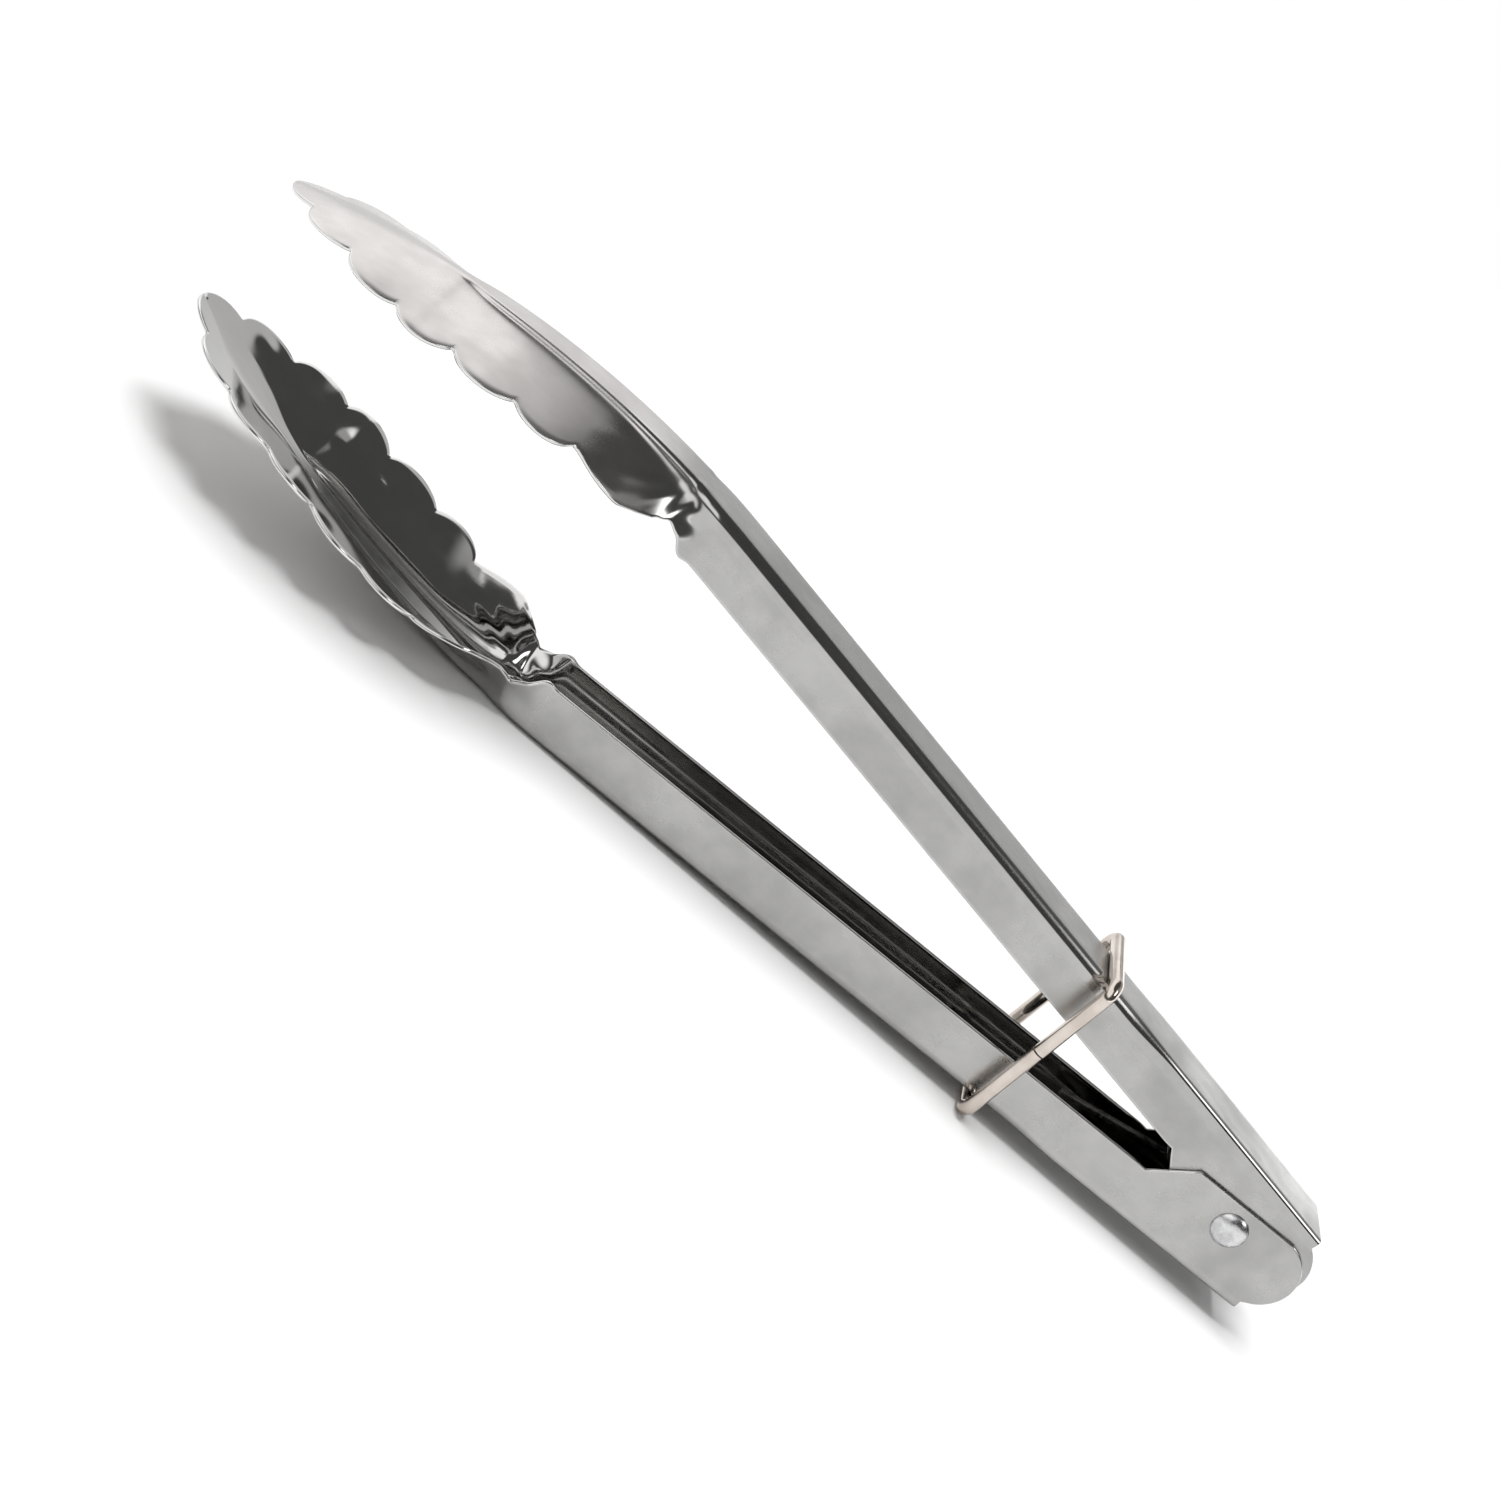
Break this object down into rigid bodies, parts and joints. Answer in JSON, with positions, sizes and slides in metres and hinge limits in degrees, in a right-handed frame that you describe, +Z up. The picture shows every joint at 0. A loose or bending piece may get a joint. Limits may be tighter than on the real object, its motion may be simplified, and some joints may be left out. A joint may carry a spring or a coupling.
{
  "type": "spring loaded kitchen tongs",
  "caption": "Stainless kitchen tongs with channel handles, scalloped spoon blades, a riveted sprung pivot and a sliding wire ring that locks them shut.",
  "frame": {"origin": "centre of the bounding box in plan, on the surface that the tongs lie on", "axes": "+X from the blades to the pivot end, +Y along the rivet to its tail, +Z up from the lower arm to the upper arm"},
  "size_m": [0.307, 0.055, 0.0668],
  "materials": {
    "arm_steel": "satin rolled stainless sheet",
    "rivet_aluminium": "satin",
    "spring_steel": "drawn wire",
    "ring_nickel": "bright nickel plate"
  },
  "bodies": {
    "lower_arm": {"lower_arm": "arm_steel", "pivot_rivet": "rivet_aluminium", "torsion_spring": "spring_steel"},
    "upper_arm": {"upper_arm": "arm_steel"},
    "lock_ring": {"lock_ring": "ring_nickel"}
  },
  "joints": [
    {"name": "arm_hinge", "type": "hinge", "parent": "lower_arm", "child": "upper_arm", "pos_m": [0.13375, 0, 0.01866], "axis": [0, 1, 0], "range_deg": [-5.9, 6], "stiffness_Nm_per_rad": 5, "springref_deg": 1.2, "deforming": ["torsion_spring"]},
    {"name": "ring_slide", "type": "slide", "parent": "lower_arm", "child": "lock_ring", "axis": [0.9996, 0, 0.0277], "range_m": [-0.0305, 0.031]}
  ],
  "couplings": [
    {"joint": "ring_slide", "follows": "arm_hinge", "m_per_rad": 0.29106}
  ]
}
